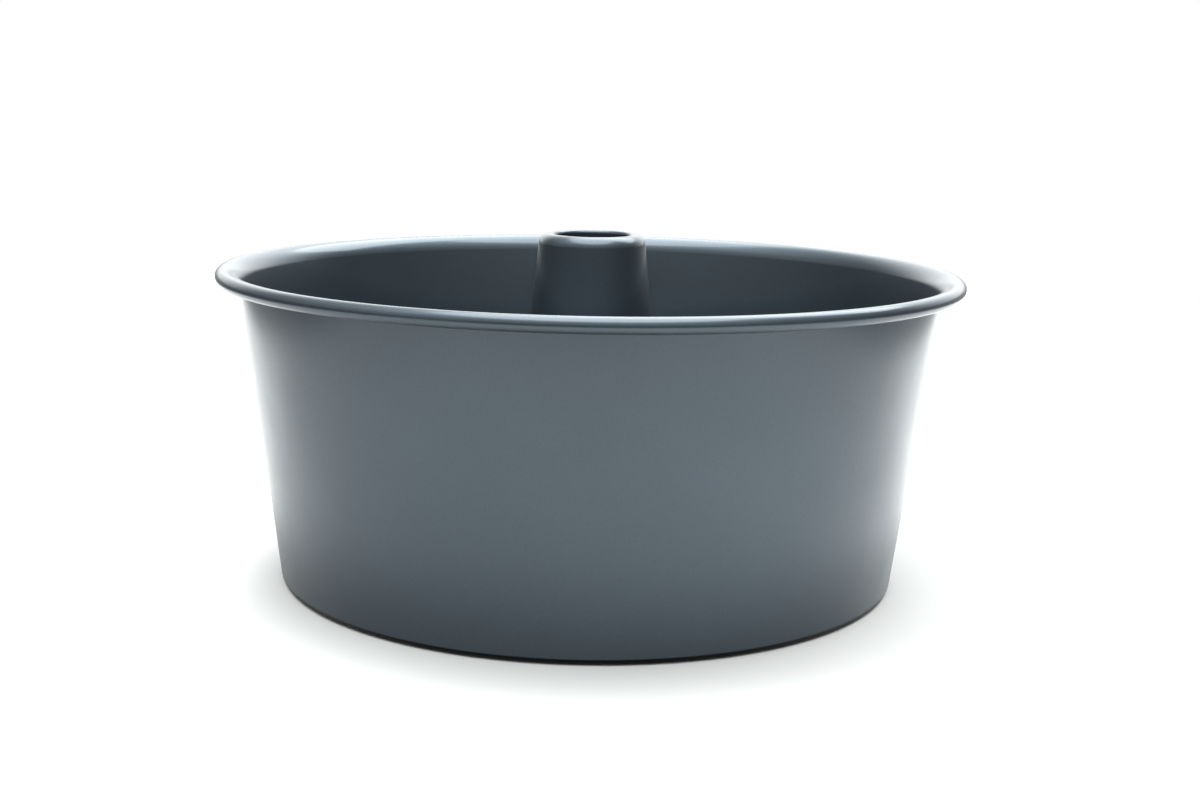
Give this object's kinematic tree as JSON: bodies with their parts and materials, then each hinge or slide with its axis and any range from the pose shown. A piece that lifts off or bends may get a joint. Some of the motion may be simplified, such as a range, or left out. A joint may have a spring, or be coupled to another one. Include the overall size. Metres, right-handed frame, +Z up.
{
  "type": "angel food cake pan",
  "caption": "Deep round tube pan: a tapered shell with a wired, rolled rim, and a lift-out bottom plate clinched to a tapered centre tube.",
  "frame": {"origin": "on the pan's axis, at the bench that it stands on", "axes": "+Z up along the axis of the shell and the centre tube; X and Y are alike, because every piece is round"},
  "size_m": [0.264, 0.264, 0.1225],
  "materials": {
    "shell_coating": "satin blue-grey nonstick coating",
    "insert_coating": "satin blue-grey nonstick coating",
    "bare_wire": "drawn steel wire"
  },
  "bodies": {
    "shell": {"pan_wall": "shell_coating", "rim_wire": "bare_wire"},
    "insert": {"base_plate": "insert_coating", "centre_tube": "insert_coating"}
  },
  "joints": [
    {"name": "insert_lift", "type": "slide", "parent": "shell", "child": "insert", "axis": [0, 0, 1], "range_m": [0, 0.125]}
  ]
}
